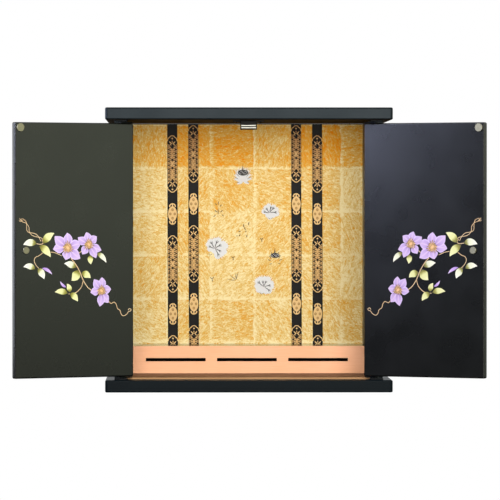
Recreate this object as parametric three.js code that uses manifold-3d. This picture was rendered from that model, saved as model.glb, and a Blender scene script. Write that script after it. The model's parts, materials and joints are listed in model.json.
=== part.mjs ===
// Tabletop altar cabinet with its two doors standing open.
// A black lacquered case holds a gold-leafed panel above a low, copper-coloured step.
// Millimetres: X runs to the right, Y to the back and Z up. The origin is the centre of the
// base board's underside, and the cabinet's front faces -Y.
import * as THREE from "three";
import { mergeVertices } from "three/addons/utils/BufferGeometryUtils.js";
import Module from "manifold-3d";

const wasm = await Module();
wasm.setup();

// Top and base boards, which stand out past the case on every side
const BOARD_THICKNESS = 18.5;
const SIDE_OVERHANG = 13.5;
const FRONT_OVERHANG = 40;
const BACK_OVERHANG = 4;
const BOARD_CORNER_RADIUS = 3.5; // of the outline, seen from above
const BOARD_EDGE_RADIUS = 2.2; // along the upper and lower edges

// Case between the boards
const BODY_WIDTH = 405;
const BODY_DEPTH = 292;
const BODY_HEIGHT = 391;
const WALL_THICKNESS = 18.5;
const BACK_BOARD_THICKNESS = 9;
const GLUE_GAP = 0.3; // between pieces that are glued or screwed together

// Gold-leafed panel, floor sheet and step
const PANEL_THICKNESS = 3;
const PANEL_TOP_GAP = 1.5;
const FLOOR_THICKNESS = 2.2;
const STEP_HEIGHT = 42;
const STEP_DEPTH = 118; // from the step's front to the gold-leafed panel
const STEP_BOARD_THICKNESS = 6;
const SLOT_COUNT = 3;
const SLOT_HEIGHT = 5.2;
const SLOT_SPACING = 17.6; // wood between two slots
const SLOT_MARGIN = 27.3; // wood outside the first and last slots

// Doors
const DOOR_THICKNESS = 10;
const DOOR_CORNER_RADIUS = 2.5;
const DOOR_EDGE_RADIUS = 2;
const DOOR_MEETING_GAP = 1.5; // between the two doors when they are closed
const DOOR_OPENING = 150; // degrees from closed, as the doors stand here
const SWING_CLEARANCE = 0.5; // between a turning door's corner and the walls

// Pivot hinges, in the gaps above and below the doors
const HINGE_PLATE_THICKNESS = 1.6;
const HINGE_PLATE_LENGTH = 21;
const HINGE_PLATE_WIDTH = 11;
const HINGE_PLATE_CORNER = 2.5;
const HINGE_CLEARANCE = 1.2; // between the two plates of a hinge
const DOOR_PLATE_INSET = 0.6; // from the door's faces and its hinge end
const PIVOT_FROM_END = 14;
const PIVOT_FROM_OUTER_FACE = 4;
const PIN_RADIUS = 1.8;
const PIN_DEPTH = 5; // how far a pin stands in the door
const PIN_CLEARANCE = 0.3;

// Magnetic catch under the top board, and the discs that meet it
const CATCH_WIDTH = 25;
const CATCH_HEIGHT = 14.4;
const CATCH_DEPTH = 15;
const CATCH_EDGE_RADIUS = 0.8;
const EAR_SPAN = 47; // over both screwed ears
const EAR_THICKNESS = 2.4;
const EAR_DEPTH = 10;
const POLE_WIDTH = 22;
const POLE_HEIGHT = 1.5;
const POLE_DEPTH = 9;
const POLE_PROUD = 0.4; // how far a pole strip stands out of the catch
const UPPER_POLE_DROP = 8.3; // from the top board's underside to the strip's middle
const LOWER_POLE_DROP = 11.5;
const CATCH_CLEARANCE = 0.5; // between the poles and the closed doors' discs
const DISC_RADIUS = 6.3;
const DISC_THICKNESS = 1.2;
const DISC_CHAMFER = 0.4;
const DISC_FROM_EDGE = 9.1; // from the door's free edge
const DISC_FROM_TOP = 7.8;

// Pull knobs outside, and their caps inside
const KNOB_FROM_EDGE = 18.3;
const CAP_RADIUS = 5.4;
const CAP_THICKNESS = 1.4;
const CAP_CHAMFER = 0.5;
const KNOB_BASE_RADIUS = 7;
const KNOB_NECK_RADIUS = 4;
const KNOB_HEAD_RADIUS = 8;
const KNOB_BASE_THICKNESS = 2;
const KNOB_NECK_LENGTH = 6;
const KNOB_HEAD_LENGTH = 8;

const ROUND_SIDES = 28; // sides of a turned piece
const CORNER_STEPS = 4; // steps round a quarter turn

// Places that follow from the sizes
const boardWidth = BODY_WIDTH + 2 * SIDE_OVERHANG;
const boardDepth = FRONT_OVERHANG + BODY_DEPTH + BACK_OVERHANG;
const bodyBottom = BOARD_THICKNESS;
const bodyTop = bodyBottom + BODY_HEIGHT;
const bodyFront = FRONT_OVERHANG - boardDepth / 2;
const bodyBack = bodyFront + BODY_DEPTH;
const innerSide = BODY_WIDTH / 2 - WALL_THICKNESS;
const backBoardFront = bodyBack - BACK_BOARD_THICKNESS;
const panelFront = backBoardFront - GLUE_GAP - PANEL_THICKNESS;
const floorBottom = bodyBottom + GLUE_GAP;
const floorTop = floorBottom + FLOOR_THICKNESS;
const stepBottom = floorTop + GLUE_GAP;
const stepTop = stepBottom + STEP_HEIGHT;
const stepFront = panelFront - STEP_DEPTH;
const doorGap = 2 * (HINGE_PLATE_THICKNESS + GLUE_GAP) + HINGE_CLEARANCE;
const doorBottom = bodyBottom + doorGap;
const doorTop = bodyTop - doorGap;
const doorWidth = (BODY_WIDTH - DOOR_MEETING_GAP) / 2;
const pivotFromFace = DOOR_THICKNESS - PIVOT_FROM_OUTER_FACE;
const cornerReach = Math.hypot(PIVOT_FROM_END, Math.max(pivotFromFace, PIVOT_FROM_OUTER_FACE));
const pivotX = BODY_WIDTH / 2 - PIVOT_FROM_END;
const pivotY = bodyFront - SWING_CLEARANCE - cornerReach;
const closedFaceY = pivotY + pivotFromFace; // the closed doors' inner faces
const poleFront = closedFaceY + GLUE_GAP + DISC_THICKNESS + CATCH_CLEARANCE;

const lacquer = new THREE.MeshStandardMaterial({ color: 0x2c3133, roughness: 0.35 });
const goldLeaf = new THREE.MeshStandardMaterial({ color: 0xe2bb66, roughness: 0.35, metalness: 0.9 });
const copperPaint = new THREE.MeshStandardMaterial({ color: 0xedb98a, roughness: 0.4, metalness: 0.3 });
const blackPlastic = new THREE.MeshStandardMaterial({ color: 0x101112, roughness: 0.5 });
const blackSteel = new THREE.MeshStandardMaterial({ color: 0x17181a, roughness: 0.4, metalness: 0.8 });
const brightSteel = new THREE.MeshStandardMaterial({ color: 0xd8d8d2, roughness: 0.3, metalness: 1 });
const dullSteel = new THREE.MeshStandardMaterial({ color: 0xa09c88, roughness: 0.5, metalness: 0.9 });

// A closed geometry as a solid that can be cut and joined
function toSolid(geometry) {
  const bare = geometry.clone();
  bare.deleteAttribute("normal");
  bare.deleteAttribute("uv");
  const merged = mergeVertices(bare, 1e-4);
  const mesh = new wasm.Mesh({
    numProp: 3,
    vertProperties: merged.attributes.position.array,
    triVerts: new Uint32Array(merged.index.array),
  });
  return new wasm.Manifold(mesh);
}

function toGeometry(solid) {
  const { vertProperties, triVerts } = solid.getMesh();
  const geometry = new THREE.BufferGeometry();
  geometry.setAttribute("position", new THREE.BufferAttribute(vertProperties, 3));
  geometry.setIndex(new THREE.BufferAttribute(triVerts, 1));
  geometry.computeVertexNormals();
  return geometry;
}

function cut(geometry, ...tools) {
  return toGeometry(tools.reduce((solid, tool) => solid.subtract(toSolid(tool)), toSolid(geometry)));
}

function join(geometry, ...others) {
  return toGeometry(others.reduce((solid, other) => solid.add(toSolid(other)), toSolid(geometry)));
}

function addPiece(parent, name, geometry, material, x = 0, y = 0, z = 0) {
  const mesh = new THREE.Mesh(geometry, material);
  mesh.name = name;
  mesh.position.set(x, y, z);
  parent.add(mesh);
  return mesh;
}

// A plain board between the given limits
function addBoard(parent, name, material, [x0, x1], [y0, y1], [z0, z1]) {
  const geometry = new THREE.BoxGeometry(x1 - x0, y1 - y0, z1 - z0);
  return addPiece(parent, name, geometry, material, (x0 + x1) / 2, (y0 + y1) / 2, (z0 + z1) / 2);
}

function roundedRectangle(width, height, radius) {
  const points = [];
  const centres = [[1, 1], [-1, 1], [-1, -1], [1, -1]];
  centres.forEach(([sideX, sideY], corner) => {
    for (let step = 0; step <= CORNER_STEPS; step++) {
      const angle = ((corner + step / CORNER_STEPS) * Math.PI) / 2;
      const x = sideX * (width / 2 - radius) + radius * Math.cos(angle);
      const y = sideY * (height / 2 - radius) + radius * Math.sin(angle);
      points.push(new THREE.Vector2(x, y));
    }
  });
  return new THREE.Shape(points);
}

// A slab centred on the origin, its thickness along Z, with rounded corners and edges
function roundedSlab(width, height, thickness, cornerRadius, edgeRadius) {
  const geometry = new THREE.ExtrudeGeometry(roundedRectangle(width, height, cornerRadius), {
    depth: thickness - 2 * edgeRadius,
    bevelThickness: edgeRadius,
    bevelSize: edgeRadius,
    bevelOffset: -edgeRadius,
    bevelSegments: CORNER_STEPS,
  });
  return geometry.translate(0, 0, edgeRadius - thickness / 2);
}

// A plate with square edges and rounded corners, standing on Z = 0
function flatPlate(width, height, thickness, cornerRadius) {
  const shape = roundedRectangle(width, height, cornerRadius);
  return new THREE.ExtrudeGeometry(shape, { depth: thickness, bevelEnabled: false });
}

// A turned piece along +Y from a profile of [radius, height] pairs, from foot to head
function turned(profile) {
  const points = profile.map(([radius, height]) => new THREE.Vector2(radius, height));
  return new THREE.LatheGeometry(points, ROUND_SIDES);
}

// A round rod along Z between two heights
function rod(radius, z0, z1) {
  return new THREE.CylinderGeometry(radius, radius, z1 - z0, ROUND_SIDES)
    .rotateX(Math.PI / 2)
    .translate(0, 0, (z0 + z1) / 2);
}

function addBoards(parent) {
  for (const [name, bottom] of [["base_board", 0], ["top_board", bodyTop]]) {
    const rims = [BOARD_CORNER_RADIUS, BOARD_EDGE_RADIUS];
    const board = roundedSlab(boardWidth, boardDepth, BOARD_THICKNESS, ...rims);
    addPiece(parent, name, board, lacquer, 0, 0, bottom + BOARD_THICKNESS / 2);
  }
}

function addCase(parent) {
  const walled = [bodyBottom + GLUE_GAP, bodyTop - GLUE_GAP];
  const between = [GLUE_GAP - innerSide, innerSide - GLUE_GAP];
  for (const [side, name] of [[-1, "left"], [1, "right"]]) {
    const limits = [side * innerSide, (side * BODY_WIDTH) / 2].sort((a, b) => a - b);
    addBoard(parent, `side_wall_${name}`, lacquer, limits, [bodyFront, bodyBack], walled);
  }
  addBoard(parent, "back_board", lacquer, between, [backBoardFront, bodyBack], walled);
  const panelDepth = [panelFront, panelFront + PANEL_THICKNESS];
  addBoard(parent, "gold_panel", goldLeaf, between, panelDepth, [stepBottom, bodyTop - PANEL_TOP_GAP]);
  const floorDepth = [bodyFront, backBoardFront - GLUE_GAP];
  addBoard(parent, "floor_sheet", copperPaint, between, floorDepth, [floorBottom, floorTop]);
}

// The step is a front with slim slots and a board that closes it behind
function addStep(parent) {
  const width = 2 * (innerSide - GLUE_GAP);
  const slotLength = (width - 2 * SLOT_MARGIN - (SLOT_COUNT - 1) * SLOT_SPACING) / SLOT_COUNT;
  const pitch = slotLength + SLOT_SPACING;
  const slots = [];
  for (let slot = 0; slot < SLOT_COUNT; slot++) {
    const x = (slot - (SLOT_COUNT - 1) / 2) * pitch;
    slots.push(new THREE.BoxGeometry(slotLength, 2 * STEP_BOARD_THICKNESS, SLOT_HEIGHT).translate(x, 0, 0));
  }
  const front = cut(new THREE.BoxGeometry(width, STEP_BOARD_THICKNESS, STEP_HEIGHT), ...slots);
  const frontY = stepFront + STEP_BOARD_THICKNESS / 2;
  addPiece(parent, "step_front", front, copperPaint, 0, frontY, (stepBottom + stepTop) / 2);
  const topDepth = [stepFront + STEP_BOARD_THICKNESS + GLUE_GAP, panelFront - GLUE_GAP];
  const between = [-width / 2, width / 2];
  addBoard(parent, "step_top", lacquer, between, topDepth, [stepTop - STEP_BOARD_THICKNESS, stepTop]);
}

// The catch hangs under the top board, its two pole strips let into its front
function addCatch(parent) {
  const top = bodyTop - GLUE_GAP;
  const bottom = bodyTop - CATCH_HEIGHT;
  const front = poleFront + POLE_PROUD;
  const edges = [CATCH_EDGE_RADIUS * 1.2, CATCH_EDGE_RADIUS];
  const middle = [0, front + CATCH_DEPTH / 2, (top + bottom) / 2];
  const body = roundedSlab(CATCH_WIDTH, CATCH_DEPTH, top - bottom, ...edges).translate(...middle);
  const earY = front + CATCH_DEPTH - EAR_DEPTH / 2 - CATCH_EDGE_RADIUS;
  const ears = flatPlate(EAR_SPAN, EAR_DEPTH, EAR_THICKNESS, CATCH_EDGE_RADIUS)
    .translate(0, earY, top - EAR_THICKNESS);
  const pole = (drop, grow) => new THREE.BoxGeometry(POLE_WIDTH, POLE_DEPTH, POLE_HEIGHT)
    .scale(1 + (2 * grow) / POLE_WIDTH, 1, 1 + (2 * grow) / POLE_HEIGHT)
    .translate(0, poleFront + POLE_DEPTH / 2 + grow, bodyTop - drop);
  const drops = [UPPER_POLE_DROP, LOWER_POLE_DROP];
  const housed = cut(join(body, ears), ...drops.map((drop) => pole(drop, GLUE_GAP)));
  addPiece(parent, "catch_body", housed, blackPlastic);
  addPiece(parent, "catch_pole_upper", pole(UPPER_POLE_DROP, 0), brightSteel);
  addPiece(parent, "catch_pole_lower", pole(LOWER_POLE_DROP, 0), brightSteel);
}

// The plates on the boards carry the pins, which pass through the doors' plates
function addBoardPlates(parent, side, name) {
  for (const [end, up] of [["upper", -1], ["lower", 1]]) {
    const seat = up < 0 ? bodyTop : bodyBottom;
    const reach = HINGE_PLATE_THICKNESS + HINGE_CLEARANCE + HINGE_PLATE_THICKNESS + GLUE_GAP + PIN_DEPTH;
    const length = HINGE_PLATE_LENGTH;
    const plate = flatPlate(length, HINGE_PLATE_WIDTH, HINGE_PLATE_THICKNESS, HINGE_PLATE_CORNER)
      .translate(length / 2 - PIVOT_FROM_END, 0, 0);
    const geometry = join(plate, rod(PIN_RADIUS, HINGE_PLATE_THICKNESS / 2, reach));
    const mesh = addPiece(parent, `hinge_board_plate_${end}_${name}`, geometry, blackSteel);
    mesh.position.set(side * pivotX, pivotY, seat + up * GLUE_GAP);
    mesh.rotation.set(up < 0 ? Math.PI : 0, 0, side < 0 ? 0 : Math.PI);
  }
}

// A door stands in a group at its pivot. Along the group's X it reaches from the hinge to the
// free edge, and its inner face looks along +Y while it is closed.
function addDoor(parent, side, name) {
  const leaf = new THREE.Group();
  leaf.position.set(side * pivotX, pivotY, 0);
  leaf.rotation.z = THREE.MathUtils.degToRad(side * DOOR_OPENING);
  parent.add(leaf);

  const inward = -side;
  const height = doorTop - doorBottom;
  const middleX = inward * (doorWidth / 2 - PIVOT_FROM_END);
  const middleY = pivotFromFace - DOOR_THICKNESS / 2;
  const middleZ = (doorBottom + doorTop) / 2;
  const slab = roundedSlab(doorWidth, height, DOOR_THICKNESS, DOOR_CORNER_RADIUS, DOOR_EDGE_RADIUS)
    .rotateX(Math.PI / 2)
    .translate(middleX, middleY, middleZ);
  const boreRadius = PIN_RADIUS + PIN_CLEARANCE;
  const boreDepth = PIN_DEPTH + PIN_CLEARANCE;
  const bores = [
    rod(boreRadius, doorTop - boreDepth, doorTop + 1),
    rod(boreRadius, doorBottom - 1, doorBottom + boreDepth),
  ];
  addPiece(leaf, `door_${name}`, cut(slab, ...bores), lacquer);

  for (const [end, z] of [
    ["upper", doorTop + GLUE_GAP],
    ["lower", doorBottom - GLUE_GAP - HINGE_PLATE_THICKNESS],
  ]) {
    const width = DOOR_THICKNESS - 2 * DOOR_PLATE_INSET;
    const plate = flatPlate(HINGE_PLATE_LENGTH, width, HINGE_PLATE_THICKNESS, HINGE_PLATE_CORNER)
      .translate(inward * (HINGE_PLATE_LENGTH / 2 + DOOR_PLATE_INSET - PIVOT_FROM_END), middleY, 0);
    const holed = cut(plate, rod(boreRadius, -1, HINGE_PLATE_THICKNESS + 1));
    addPiece(leaf, `hinge_door_plate_${end}_${name}`, holed, blackSteel, 0, 0, z);
  }

  const freeEdge = inward * (doorWidth - PIVOT_FROM_END);
  const innerFace = pivotFromFace + GLUE_GAP;
  const disc = turned([
    [0, 0],
    [DISC_RADIUS, 0],
    [DISC_RADIUS, DISC_THICKNESS - DISC_CHAMFER],
    [DISC_RADIUS - DISC_CHAMFER, DISC_THICKNESS],
    [0, DISC_THICKNESS],
  ]);
  const discX = freeEdge - inward * DISC_FROM_EDGE;
  addPiece(leaf, `strike_disc_${name}`, disc, dullSteel, discX, innerFace, doorTop - DISC_FROM_TOP);

  const knobX = freeEdge - inward * KNOB_FROM_EDGE;
  const cap = turned([
    [0, 0],
    [CAP_RADIUS, 0],
    [CAP_RADIUS, CAP_THICKNESS - CAP_CHAMFER],
    [CAP_RADIUS - CAP_CHAMFER, CAP_THICKNESS],
    [0, CAP_THICKNESS],
  ]);
  addPiece(leaf, `knob_cap_${name}`, cap, dullSteel, knobX, innerFace, middleZ);
  const knob = addPiece(leaf, `knob_${name}`, turnedKnob(), blackSteel, knobX);
  knob.position.y = pivotFromFace - DOOR_THICKNESS - GLUE_GAP;
  knob.position.z = middleZ;
  knob.rotation.x = Math.PI;
}

function turnedKnob() {
  const shoulder = KNOB_BASE_THICKNESS + KNOB_NECK_LENGTH;
  const profile = [
    [0, 0],
    [KNOB_BASE_RADIUS, 0],
    [KNOB_BASE_RADIUS, KNOB_BASE_THICKNESS / 2],
    [KNOB_NECK_RADIUS, KNOB_BASE_THICKNESS],
    [KNOB_NECK_RADIUS, shoulder],
  ];
  for (let step = 0; step <= 2 * CORNER_STEPS; step++) {
    const angle = (step / (2 * CORNER_STEPS)) * Math.PI;
    const radius = KNOB_HEAD_RADIUS * Math.sin(angle);
    const height = shoulder + (KNOB_HEAD_LENGTH * (1 - Math.cos(angle))) / 2;
    if (radius > KNOB_NECK_RADIUS || step > CORNER_STEPS) profile.push([Math.max(radius, 0), height]);
  }
  profile[profile.length - 1][0] = 0;
  return turned(profile);
}

const cabinet = new THREE.Group();
addBoards(cabinet);
addCase(cabinet);
addStep(cabinet);
addCatch(cabinet);
for (const [side, name] of [[-1, "left"], [1, "right"]]) {
  addBoardPlates(cabinet, side, name);
  addDoor(cabinet, side, name);
}

export default cabinet;
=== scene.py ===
# %% [markdown]
# # A tabletop altar cabinet
# The real object is a small lacquered cabinet with two doors. Inside stand a gold-leafed panel and
# a low copper-coloured step. The solids arrive finished as a frame, so this notebook only dresses
# them: it gives each one a finish, paints the ornament and adds the small screws.

# %% Load the frame
import json
import math

import bmesh
import bpy
from mathutils import Euler, Matrix, Vector


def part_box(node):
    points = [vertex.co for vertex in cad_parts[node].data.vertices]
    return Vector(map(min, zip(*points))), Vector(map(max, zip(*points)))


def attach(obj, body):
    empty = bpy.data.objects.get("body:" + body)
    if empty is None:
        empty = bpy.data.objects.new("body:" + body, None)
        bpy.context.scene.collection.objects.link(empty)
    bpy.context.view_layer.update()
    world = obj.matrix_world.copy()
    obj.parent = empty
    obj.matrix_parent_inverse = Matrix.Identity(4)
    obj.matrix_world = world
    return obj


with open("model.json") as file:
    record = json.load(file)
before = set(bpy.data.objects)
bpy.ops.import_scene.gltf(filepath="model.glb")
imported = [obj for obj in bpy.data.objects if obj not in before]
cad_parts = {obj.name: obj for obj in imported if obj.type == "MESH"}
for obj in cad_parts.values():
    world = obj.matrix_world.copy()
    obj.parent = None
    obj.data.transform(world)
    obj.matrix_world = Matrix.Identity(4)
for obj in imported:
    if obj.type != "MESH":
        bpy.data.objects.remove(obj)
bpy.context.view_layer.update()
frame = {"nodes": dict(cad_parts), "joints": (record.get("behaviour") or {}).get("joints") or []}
nodes = frame["nodes"]
MM = 0.001
print("pieces in the frame:", len(nodes))

# %% [markdown]
# ## The camera
# The picture was taken from far away with a long lens, so the lines of the cabinet hardly run
# together. The camera stands a little left of the middle and looks slightly down at the step.
# A long focal length at the right distance gives the same outline without any lens shift.

# %% Camera
CAMERA_PLACE = Vector((-0.105, -6.768, 0.281))
CAMERA_TURN = math.radians(0.924)  # to the right
CAMERA_DIP = math.radians(0.582)
SENSOR_WIDTH = 36.0
LENS = 316.8

camera = bpy.data.objects.new("camera", bpy.data.cameras.new("camera"))
camera.data.sensor_width = SENSOR_WIDTH
camera.data.lens = LENS
camera.location = CAMERA_PLACE
camera.rotation_euler = Euler((math.pi / 2 - CAMERA_DIP, 0, -CAMERA_TURN))
bpy.context.scene.collection.objects.link(camera)
bpy.context.scene.camera = camera
bpy.context.scene.view_settings.view_transform = "Standard"
print("camera", round(CAMERA_PLACE.length, 2), "m from the cabinet")

# %% [markdown]
# ## Helpers for every material
# A colour is written as people read it, in sRGB hex, and shaders want linear light, so one
# function converts it. A second one adds a shader node with its settings and its links. The
# others call it for what nearly every material needs: sums, ranges, ramps, noise and bumps.

# %% Colour and node helpers
FACTOR, FIRST, SECOND, MIXED = 0, 6, 7, 2  # sockets of a Mix node set to colours
NOISE_SPREAD = (0.3, 0.7)  # nearly all of a noise's values lie between these


def hex_colour(code):
    channels = [int(code[start : start + 2], 16) / 255 for start in (1, 3, 5)]
    linear = [c / 12.92 if c <= 0.04045 else ((c + 0.055) / 1.055) ** 2.4 for c in channels]
    return (*linear, 1.0)


def add_node(tree, kind, inputs=None, stops=None, **settings):
    """Adds one node: its settings, a ramp's stops, and plain values or outputs for its inputs."""
    node = tree.nodes.new(kind)
    for name, value in settings.items():
        setattr(node, name, value)
    for index, (place, code) in enumerate(stops or []):
        elements = node.color_ramp.elements
        element = elements[index] if index < 2 else elements.new(place)
        element.position = place
        element.color = hex_colour(code)
    for name, value in (inputs or {}).items():
        if isinstance(value, bpy.types.NodeSocket):
            tree.links.new(value, node.inputs[name])
        else:
            node.inputs[name].default_value = value
    return node


def calculate(tree, operation, *values):
    """A Math node on plain numbers and outputs."""
    return add_node(tree, "ShaderNodeMath", dict(enumerate(values)), operation=operation).outputs[0]


def remap(tree, value, low, high, first=0.0, last=1.0, **settings):
    """Turns low into first and high into last, and stays there beyond them."""
    values = {"Value": value, "From Min": low, "From Max": high, "To Min": first, "To Max": last}
    return add_node(tree, "ShaderNodeMapRange", values, **settings).outputs["Result"]


def ramp(tree, share, stops):
    return add_node(tree, "ShaderNodeValToRGB", {"Fac": share}, stops).outputs["Color"]


def two_tones(tree, noise, colours):
    """The first colour where the noise is low, and the second where it is high."""
    return ramp(tree, noise, list(zip(NOISE_SPREAD, colours)))


def mix_colours(tree, share, first, second):
    values = {FACTOR: share, FIRST: first, SECOND: second}
    return add_node(tree, "ShaderNodeMix", values, data_type="RGBA").outputs[MIXED]


def new_material(name, **values):
    """A material with one Principled shader, whose plain sockets are set by name."""
    material = bpy.data.materials.new(name)
    material.use_nodes = True
    shader = material.node_tree.nodes["Principled BSDF"]
    for socket, value in values.items():
        shader.inputs[socket.replace("_", " ")].default_value = value
    return material, material.node_tree, shader


def plain_material(name, colour, **values):
    return new_material(name, Base_Color=hex_colour(colour), **values)[0]


def object_noise(tree, size_mm, stretch=(1, 1, 1), detail=2.0, roughness=0.5):
    """Noise on the object's own coordinates, with features about size_mm across."""
    place = add_node(tree, "ShaderNodeTexCoord").outputs["Object"]
    scaled = add_node(tree, "ShaderNodeMapping", {"Vector": place, "Scale": stretch})
    settings = {"Scale": 1 / (size_mm * MM), "Detail": detail, "Roughness": roughness}
    return add_node(tree, "ShaderNodeTexNoise", {"Vector": scaled.outputs[0], **settings}).outputs[0]


def bump(tree, shader, height, depth_mm, strength=1.0):
    values = {"Height": height, "Distance": depth_mm * MM, "Strength": strength}
    node = add_node(tree, "ShaderNodeBump", values)
    tree.links.new(node.outputs["Normal"], shader.inputs["Normal"])


def dress(names, material):
    for name in names:
        nodes[name].data.materials.clear()
        nodes[name].data.materials.append(material)
    print(material.name, "on", len(names), "pieces")


# %% [markdown]
# ## Black lacquer
# The boards and doors are wood under sprayed black lacquer, rubbed down to a satin sheen. The
# eye sees a nearly black colour with a wide soft reflection, and very faint waves that spraying
# leaves, like orange peel. Noise in the bump gives the waves, and slower noise varies the sheen.
# The case reflects in a cool slate tone. The base board has a darker copy of that lacquer which
# mirrors less, and this is painted shade. The doors are a warmer black. The board on the step is
# polished and mirrors the gold.

# %% Satin black lacquer
ORANGE_PEEL_MM, ORANGE_PEEL_DEPTH_MM = 2.5, 0.004
RUBBING_MM = 60.0
CASE_SHEEN = (0.30, 0.36)


def satin_lacquer(name, colours, sheen, mirror=0.33, tint="#ffffff"):
    """Nearly black: sheen holds the lowest and highest roughness, mirror the specular level."""
    values = {"Specular_IOR_Level": mirror, "Specular_Tint": hex_colour(tint)}
    material, tree, shader = new_material(name, **values)
    rubbing = object_noise(tree, RUBBING_MM, detail=3.0)
    tree.links.new(two_tones(tree, rubbing, colours), shader.inputs["Base Color"])
    rough = remap(tree, rubbing, *NOISE_SPREAD, *sheen)
    tree.links.new(rough, shader.inputs["Roughness"])
    bump(tree, shader, object_noise(tree, ORANGE_PEEL_MM), ORANGE_PEEL_DEPTH_MM)
    return material


case_lacquer = satin_lacquer("satin black lacquer", ("#090d10", "#0b1013"), CASE_SHEEN, 0.17,
                             tint="#c8dcea")
# The base board's copy mirrors less than the case's lacquer: painted shade.
base_lacquer_painted_shade = satin_lacquer("darker copy of the case lacquer, painted shade", ("#070f14", "#091217"),
                             CASE_SHEEN, 0.045)
door_lacquer = satin_lacquer("satin black lacquer of the doors", ("#090a08", "#0c0d0a"),
                             (0.26, 0.31))
polished_lacquer = satin_lacquer("polished black lacquer", ("#0d0c09", "#100f0b"), (0.12, 0.16), 0.5)
dress(["top_board", "side_wall_left", "side_wall_right", "back_board"], case_lacquer)
dress(["base_board"], base_lacquer_painted_shade)
dress(["door_left", "door_right"], door_lacquer)
dress(["step_top"], polished_lacquer)

# %% [markdown]
# Undersides are not rubbed down. Their coat stays matte, and its brownish colour is a painted
# reflection of the gold, so the underside of the top board shows as a dim brown band over the
# gold instead of mirroring it.

# %% Matte undersides
gold_reflection_lacquer = satin_lacquer("matte lacquer with painted gold reflection", ("#3c2808", "#46300a"), (0.75, 0.85), 0.12)


def dress_side(name, material, faces_out):
    """Gives a material to the faces of one piece whose normals pass the test."""
    mesh = nodes[name].data
    mesh.materials.append(material)
    chosen = [face for face in mesh.polygons if faces_out(face.normal)]
    for face in chosen:
        face.material_index = 1
    print(material.name, "on", len(chosen), "faces of", name)


for name in ("top_board", "base_board"):
    dress_side(name, gold_reflection_lacquer, lambda normal: normal.z < -0.9)

# %% [markdown]
# ## Gold leaf
# The back panel is laid with squares of gold leaf. Each square overlaps the next by a few
# millimetres, and the doubled leaf shows as a lighter seam. Inside a square the leaf is
# crinkled, and each square has its own tone. Chance, drawn from the square's row and column,
# gives the tone and the direction of its crinkles. The topmost row is a deeper gold, and above
# its lower seam the colour also darkens slowly towards the top board, which is painted shade.

# %% Gold leaf in squares
LEAF_MM = 68.5
LEAF_START = (12.0, 64.0)  # a seam's place across, and a seam's height
SEAM_MM = 8.0
SEAM_FADE = (0.33, 0.47)  # a seam starts to show at the first cloud level and is full at the other
WANDER_MM, WANDER_REACH_MM = 14.0, 9.0  # how quickly and how far a seam wanders
CRINKLE_MM, CRINKLE_DEPTH_MM = 2.6, 0.12
CRINKLE_STRETCH = (1, 1, 0.42)
CRINKLE_CONTRAST, CRINKLE_OFFSET = 2.8, -1.11
CLOUD_MM = 28.0
SPECKLE_MM = 1.2
TOP_SHARP, SHARP_SHARE = (0.337, 0.343), 0.285  # heights in metres where the deeper gold sets in
TOP_SHADE_RANGE, TOP_SHADE_SHARE = (0.335, 0.375), 0.05  # and where painted shade darkens it slowly towards the top board
LEVEL_TOP = 1.6  # the level that takes the ramp's last colour


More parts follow.
